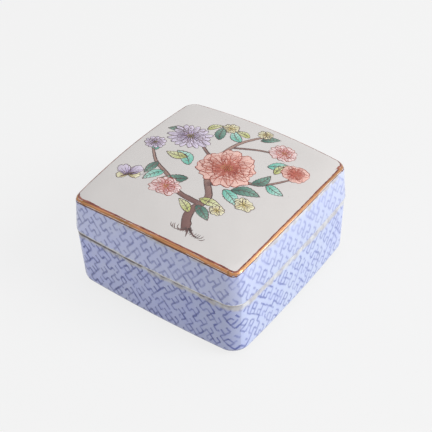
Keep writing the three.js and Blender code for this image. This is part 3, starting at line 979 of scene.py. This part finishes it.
# Famille-rose enamel: an opaque wash, deep at the root and thinning to the glaze at the tip,
# with streaks left by the brush some 0.4 mm apart
def enamel_wash(name, deep, pale, streak, turn=0.5):
    material, tree = start_material(name)
    mm = object_millimetres(tree)
    chart = node(tree, "ShaderNodeUVMap", {}, uv_map="brush")
    stretched = node(tree, "ShaderNodeMapping", {"Vector": chart, "Scale": (2.4, 1.1, 1.0)})
    streaks = node(tree, "ShaderNodeTexNoise", {"Vector": stretched, "Scale": 1.0, "Detail": 2.0})
    along = node(tree, "ShaderNodeSeparateXYZ", {0: chart})
    drift = node(tree, "ShaderNodeMath", {0: streaks, 1: 0.9, 2: -0.45}, operation="MULTIPLY_ADD")
    place = node(tree, "ShaderNodeMath", {0: along.outputs[1], 1: drift}, operation="ADD")
    share = node(tree, "ShaderNodeMapRange",
                 {"Value": place, "From Min": turn - 0.45, "From Max": turn + 0.4},
                 interpolation_type="SMOOTHSTEP")
    wash = node(tree, "ShaderNodeMixRGB",
                {"Fac": share, "Color1": linear(deep), "Color2": linear(pale)})
    grain = node(tree, "ShaderNodeTexNoise", {"Vector": mm, "Scale": 1 / 0.9, "Detail": 3.0})
    spots = node(tree, "ShaderNodeMapRange",
                 {"Value": grain, "From Min": 0.5, "From Max": 0.75, "To Min": 0.0, "To Max": 0.45})
    colour = node(tree, "ShaderNodeMixRGB", {"Fac": spots, "Color1": wash, "Color2": linear(streak)})
    bump = node(tree, "ShaderNodeBump", {"Height": streaks, "Strength": 0.35, "Distance": 0.05 * MM})
    shader = node(tree, "ShaderNodeBsdfPrincipled",
                  {"Base Color": colour, "Roughness": 0.24, "IOR": 1.5, "Normal": bump})
    finish_material(tree, shader)
    return material


coral = enamel_wash("coral_red_enamel_wash", "#B9584A", "#EBC3B8", "#D58573")
pink = enamel_wash("pale_rose_enamel_wash", "#D89AA0", "#EBD7D6", "#E0B4B6")
lavender = enamel_wash("lavender_enamel_wash", "#A58FC0", "#D9CFE2", "#BDACD2", 0.4)
turquoise = enamel_wash("turquoise_enamel_wash", "#6DBBA9", "#B4DFD3", "#8ECDBD")
teal = enamel_wash("dark_green_enamel_wash", "#426E62", "#7FA697", "#587F72")
lime = enamel_wash("yellow_green_enamel_wash", "#B9BF74", "#E0E2B8", "#CBCF92")
yellow = enamel_wash("pale_yellow_enamel_wash", "#C9B25C", "#ECE7C4", "#DDD29A", 0.35)
bark = enamel_wash("aubergine_brown_enamel_wash", "#7B5A56", "#A98B80", "#8E6F69")
sepia = brush_line_enamel("sepia_enamel_line", "#4E3C3C", "#7A625F", 0.4)
red_line = brush_line_enamel("iron_red_drawn_line", "#93392D", "#BC6C5A", 0.4)
olive_dots = brush_line_enamel("olive_yellow_enamel_dots", "#9A8F3C", "#C9BD6A", 0.3)

hand = random.Random(11)
sepia_lines, red_lines, dots = [], [], []


def thin_brush(most, least=0.35):
    return lambda share: most * (least + (1 - least) * math.sin(math.pi * min(max(share, 0.02), 0.98)) ** 0.5)


def closed_line(outline, width, lines):
    ring = [*outline, outline[0], outline[1]]
    phase = hand.uniform(0, 6)
    lines.append((ring, lambda share: width * (0.8 + 0.35 * math.sin(phase + 9 * share))))


def curve_between(start, end, bow, points=9):
    """A drawn line that bows to one side."""
    (x0, y0), (x1, y1) = start, end
    line = []
    for i in range(points):
        s = i / (points - 1)
        lift = bow * math.sin(math.pi * s)
        line.append((x0 + (x1 - x0) * s - (y1 - y0) * lift, y0 + (y1 - y0) * s + (x1 - x0) * lift))
    return line


def bloom(centre, radii, counts, width_share, shapes, lines, ruffle, notch, squash=0.86, line=0.26):
    """Rings of petals about a centre, the outer ring first."""
    for ring, (radius, count) in enumerate(zip(radii, counts)):
        first = hand.uniform(0, 360)
        for i in range(count):
            heading = first + 360 * i / count + hand.uniform(-0.16, 0.16) * 360 / count
            length = radius * hand.uniform(0.88, 1.1)
            width = 2 * math.pi * radius / count * width_share * hand.uniform(0.9, 1.12)
            flat = petal_outline(length, width, notch * length, ruffle, hand.uniform(0, 99))
            turned = placed(flat, (0, 0), heading)
            outline = [(centre[0] + x, centre[1] + y * squash) for x, y in turned]
            tip = placed([(0, length)], (0, 0), heading)[0]
            tip = (centre[0] + tip[0], centre[1] + tip[1] * squash)
            shapes.append((outline, centre, tip))
            closed_line(outline, line, lines)
            for fan in (-0.42, 0.0, 0.42) if width > 3.0 else (0.0,):
                near = placed([(fan * width * 0.2, length * 0.3)], (0, 0), heading)[0]
                far = placed([(fan * width * 0.75, length * 0.84)], (0, 0), heading)[0]
                start = (centre[0] + near[0], centre[1] + near[1] * squash)
                end = (centre[0] + far[0], centre[1] + far[1] * squash)
                lines.append((curve_between(start, end, hand.uniform(-0.06, 0.06), 6),
                              thin_brush(line * 0.62)))


def stamens(centre, radius, count, size):
    for i in range(count):
        turn = 2.4 * i
        away = radius * math.sqrt((i + 0.5) / count)
        spot = (centre[0] + away * math.cos(turn), centre[1] + away * math.sin(turn) * 0.86)
        short = (spot[0] + size * 0.5, spot[1] + size * 0.3)
        dots.append(([spot, ((spot[0] + short[0]) / 2, (spot[1] + short[1]) / 2), short],
                     lambda share, s=size: s * (0.7 + 0.6 * math.sin(math.pi * share))))


def leaf(spot, heading, length, width, shapes, bend=None, teeth=0.12):
    bow = hand.uniform(-0.12, 0.12) * length if bend is None else bend
    outline = placed(leaf_outline(length, width, bow, teeth), spot, heading)
    tip = placed([(0, length)], spot, heading)[0]
    shapes.append((outline, spot, tip))
    closed_line(outline, 0.25, sepia_lines)
    rib = [(bow * math.sin(math.pi * s), length * s) for s in [0.02 + 0.106 * i for i in range(10)]]
    sepia_lines.append((placed(rib, spot, heading), thin_brush(0.28)))
    for s in (0.22, 0.4, 0.58, 0.74):
        middle = bow * math.sin(math.pi * s)
        for side in (-1, 1):
            far = (middle + side * width * 0.36 * math.sin(math.pi * s), length * (s + 0.13))
            vein = placed([(middle, length * s), ((middle + far[0]) / 2, length * (s + 0.05)), far],
                          spot, heading)
            sepia_lines.append((vein, thin_brush(0.18)))


def branch(points, start_width, end_width, shapes):
    """A woody stem: a wash between two wavering edges, with a drawn line on its shaded side."""
    path = smooth_path(points, 7)
    right, left = [], []
    for i, (x, y) in enumerate(path):
        share = i / (len(path) - 1)
        near, far = path[max(i - 1, 0)], path[min(i + 1, len(path) - 1)]
        along = Vector((far[0] - near[0], far[1] - near[1])).normalized()
        half = (start_width + (end_width - start_width) * share) / 2
        knot = 1 + 0.3 * noise.noise(Vector((x * 0.5, y * 0.5, 2.0)))
        right.append((x + along.y * half * knot, y - along.x * half * knot))
        left.append((x - along.y * half, y + along.x * half))
    shapes.append((right + left[::-1], path[0], path[-1]))
    sepia_lines.append((right, thin_brush(0.4, 0.6)))
    sepia_lines.append((left, thin_brush(0.26, 0.6)))


def smooth_path(points, steps):
    path = []
    for i in range(len(points) - 1):
        before = Vector(points[max(i - 1, 0)])
        a, b = Vector(points[i]), Vector(points[i + 1])
        after = Vector(points[min(i + 2, len(points) - 1)])
        for k in range(steps):
            s = k / steps
            spot = 0.5 * (2 * a + (b - before) * s + (2 * before - 5 * a + 4 * b - after) * s * s
                          + (3 * a - before - 3 * b + after) * s ** 3)
            path.append((spot.x, spot.y))
    path.append(tuple(points[-1]))
    return path


# Stems
wood = []
branch([(9, -26), (5, -19), (6, -10), (0, -2), (-3, 9), (-2, 19), (3, 28)], 3.2, 0.8, wood)
branch([(5, -14), (-4, -13), (-12, -8), (-20, -4), (-27, 3)], 2.0, 0.6, wood)
branch([(2, -5), (10, 2), (17, 5), (23, 13)], 1.4, 0.5, wood)
branch([(-3, 6), (-10, 10), (-15, 14)], 1.1, 0.6, wood)
branch([(-2, 16), (6, 20), (13, 22)], 0.9, 0.4, wood)
washes("branch_washes", wood, bark, 0.02, 0.07)

# Short roots and blades of grass at the foot of the stem
for root, end, bow in (((9.5, -24.5), (14.5, -26.8), -0.12), ((8.6, -25.0), (5.2, -27.2), 0.1),
                       ((9.2, -25.5), (10.4, -28.2), 0.05)):
    sepia_lines.append((curve_between(root, end, bow), lambda share: 0.95 * (1 - share) + 0.1))
for i in range(16):
    aside = i - 7.5
    root = (9.5 + 0.7 * aside + hand.uniform(-0.2, 0.2), -26.9 + hand.uniform(-0.3, 0.3))
    end = (root[0] + 0.2 * aside + hand.uniform(-0.2, 0.2), root[1] + hand.uniform(1.0, 2.2))
    bow = -0.02 * aside + hand.uniform(-0.04, 0.04)
    sepia_lines.append((curve_between(root, end, bow), thin_brush(0.26, 0.3)))
brush_strokes("branch_drawing", sepia_lines, sepia, 0.03)
sepia_lines.clear()

# Leaves, by colour: where each springs from, its heading, length and width
turquoise_leaves, teal_leaves, lime_leaves = [], [], []
for spot, heading, length, width in (
        ((-9, 0), 62, 9.5, 4.2), ((8, -4), -118, 9.0, 4.0), ((13, 14), -62, 8.6, 3.8),
        ((-14, -7), 150, 8.0, 3.6), ((-2, 20), 52, 7.8, 3.4), ((-24, 1), 28, 7.0, 3.2),
        ((18, 6), -100, 7.4, 3.4)):
    leaf(spot, heading, length, width, turquoise_leaves)
for spot, heading, length, width in (
        ((-5, -6), 118, 9.2, 3.9), ((10, -3), -74, 10.0, 4.2), ((-9, 17), 20, 8.4, 3.6),
        ((5, -15), -118, 8.2, 3.4), ((14, 3), -20, 8.0, 3.6), ((-19, -4), 176, 7.2, 3.0),
        ((3, 25), -52, 7.0, 3.0), ((-22, 15), 100, 6.8, 3.0)):
    leaf(spot, heading, length, width, teal_leaves)
for spot, heading, length, width in (
        ((-12, 3), 96, 8.4, 3.4), ((5, -19), 62, 7.6, 2.9), ((17, 12), -10, 6.8, 2.8),
        ((-1, 24), 84, 6.4, 2.6), ((4, -12), -86, 8.4, 3.2), ((-16, 20), -34, 6.2, 2.6)):
    leaf(spot, heading, length, width, lime_leaves)
washes("turquoise_leaves", turquoise_leaves, turquoise, 0.035)
washes("dark_green_leaves", teal_leaves, teal, 0.04)
washes("yellow_green_leaves", lime_leaves, lime, 0.045)
brush_strokes("leaf_drawing", sepia_lines, sepia, 0.05)
sepia_lines.clear()

# Blooms
peony, asters, roses, primroses = [], [], [], []
bloom((2.5, 5.5), (11.0, 8.3, 5.4), (10, 8, 6), 1.12, peony, red_lines, 0.15, 0.09)
stamens((2.5, 5.5), 2.2, 26, 0.36)
bloom((22.5, 16.5), (4.8, 3.0), (6, 4), 1.05, peony, red_lines, 0.15, 0.08, line=0.2)
bloom((-18.5, 13.5), (8.2, 5.6), (18, 12), 0.84, asters, sepia_lines, 0.08, 0.0, line=0.17)
stamens((-18.5, 13.5), 1.7, 20, 0.36)
bloom((-27, 4.5), (4.3, 2.6), (11, 7), 0.84, asters, sepia_lines, 0.08, 0.0, line=0.15)
stamens((-27, 4.5), 0.9, 8, 0.3)
bloom((13.5, 23.5), (5.2, 3.2), (7, 5), 0.95, roses, red_lines, 0.18, 0.1, line=0.2)
stamens((13.5, 23.5), 1.1, 10, 0.3)
bloom((-9, -13), (5.6, 3.6), (7, 5), 0.95, roses, red_lines, 0.18, 0.1, line=0.22)
stamens((-9, -13), 1.2, 12, 0.3)
for spot, size in (((2.5, 29.0), 3.0), ((17.5, -6.5), 3.6), ((-9.5, 25.0), 3.2),
                   ((12.0, -13.5), 2.7)):
    bloom(spot, (size,), (5,), 0.9, primroses, sepia_lines, 0.15, 0.16, line=0.22)
    stamens(spot, 0.55, 5, 0.3)
washes("rose_blossoms", roses, pink, 0.075)
washes("yellow_blossoms", primroses, yellow, 0.075)
washes("aster_petals", asters, lavender, 0.075, 0.12)
washes("peony_petals", peony, coral, 0.08)

# A butterfly over the low blossom: two pairs of wings, body and feelers
wings, spots = [], []
body = (-23.5, -14.5)
for heading, length, width, kind in ((62, 6.2, 4.6, wings), (-14, 5.8, 4.4, wings),
                                     (118, 4.2, 3.6, spots), (-70, 4.0, 3.4, spots)):
    outline = placed(petal_outline(length, width, 0.0, 0.2, heading), body, heading)
    tip = placed([(0, length)], body, heading)[0]
    kind.append((outline, body, tip))
    closed_line(outline, 0.2, sepia_lines)
    for fan in (-24, -8, 8, 24):
        end = placed([(0, length * 0.78)], body, heading + fan)[0]
        sepia_lines.append((curve_between(body, end, 0.03, 6), thin_brush(0.11)))
washes("butterfly_fore_wings", wings, lavender, 0.05, 0.14)
washes("butterfly_hind_wings", spots, yellow, 0.045, 0.14)
sepia_lines.append((curve_between((-25.2, -16.6), (-22.0, -12.6), 0.05), thin_brush(0.9, 0.3)))
for bow, end in ((0.18, (-19.4, -9.6)), (-0.18, (-18.6, -11.4))):
    sepia_lines.append((curve_between((-22.2, -12.8), end, bow), thin_brush(0.13, 0.5)))

brush_strokes("sepia_drawing", sepia_lines, sepia, 0.095)
brush_strokes("red_drawing", red_lines, red_line, 0.1)
brush_strokes("stamen_dots", dots, olive_dots, 0.11)

# ---------------------------------------------------------------- floor, world and lamps

BACKGROUND = "#F2F2F2"


def pale_floor():
    bpy.ops.object.select_all(action="DESELECT")
    bpy.ops.mesh.primitive_plane_add(size=6.0, location=(0.0, 0.0, -0.03 * MM))
    bpy.ops.object.transform_apply(location=True)
    floor = bpy.context.object
    floor.name = "floor"
    material, tree = start_material("pale_studio_floor")
    paper = node(tree, "ShaderNodeBsdfDiffuse", {"Color": linear("#E6E6E6")})
    glow = node(tree, "ShaderNodeEmission", {"Color": linear(BACKGROUND), "Strength": 1.03})
    seen = node(tree, "ShaderNodeMixShader", {0: 0.88, 1: paper, 2: glow})
    path = node(tree, "ShaderNodeLightPath", {})
    looked_at = node(tree, "ShaderNodeMath",
                     {0: path.outputs["Is Camera Ray"], 1: path.outputs["Is Glossy Ray"]},
                     operation="MAXIMUM")
    either = node(tree, "ShaderNodeMath", {0: looked_at, 1: path.outputs["Is Transmission Ray"]},
                  operation="MAXIMUM")
    finish_material(tree, node(tree, "ShaderNodeMixShader", {0: either, 1: paper, 2: seen}))
    floor.data.materials.append(material)


def studio_world():
    world = bpy.data.worlds.new("studio")
    world.use_nodes = True
    tree = world.node_tree
    tree.nodes.clear()
    path = node(tree, "ShaderNodeLightPath", {})
    looked_at = node(tree, "ShaderNodeMath",
                     {0: path.outputs["Is Camera Ray"], 1: path.outputs["Is Glossy Ray"]},
                     operation="MAXIMUM")
    either = node(tree, "ShaderNodeMath", {0: looked_at, 1: path.outputs["Is Transmission Ray"]},
                  operation="MAXIMUM")
    soft = node(tree, "ShaderNodeBackground", {"Color": linear("#FFFFFF"), "Strength": 0.47})
    seen = node(tree, "ShaderNodeBackground", {"Color": linear(BACKGROUND), "Strength": 1.0})
    mixed = node(tree, "ShaderNodeMixShader", {0: either, 1: soft, 2: seen})
    node(tree, "ShaderNodeOutputWorld", {"Surface": mixed})
    bpy.context.scene.world = world


def soft_lamp(name, place, size, power):
    lamp = bpy.data.objects.new(name, bpy.data.lights.new(name, "AREA"))
    lamp.data.shape = "DISK"
    lamp.data.size = size
    lamp.data.energy = power
    lamp.location = place
    aim = Vector((0.0, 0.0, 0.02)) - Vector(place)
    lamp.rotation_euler = aim.to_track_quat("-Z", "Y").to_euler()
    bpy.context.scene.collection.objects.link(lamp)


pale_floor()
studio_world()
soft_lamp("window_lamp", (0.92, 0.28, 0.75), 0.7, 10.4)
soft_lamp("top_lamp", (0.15, 0.35, 1.2), 0.9, 2.0)

scene = bpy.context.scene
scene.view_settings.view_transform = "Standard"
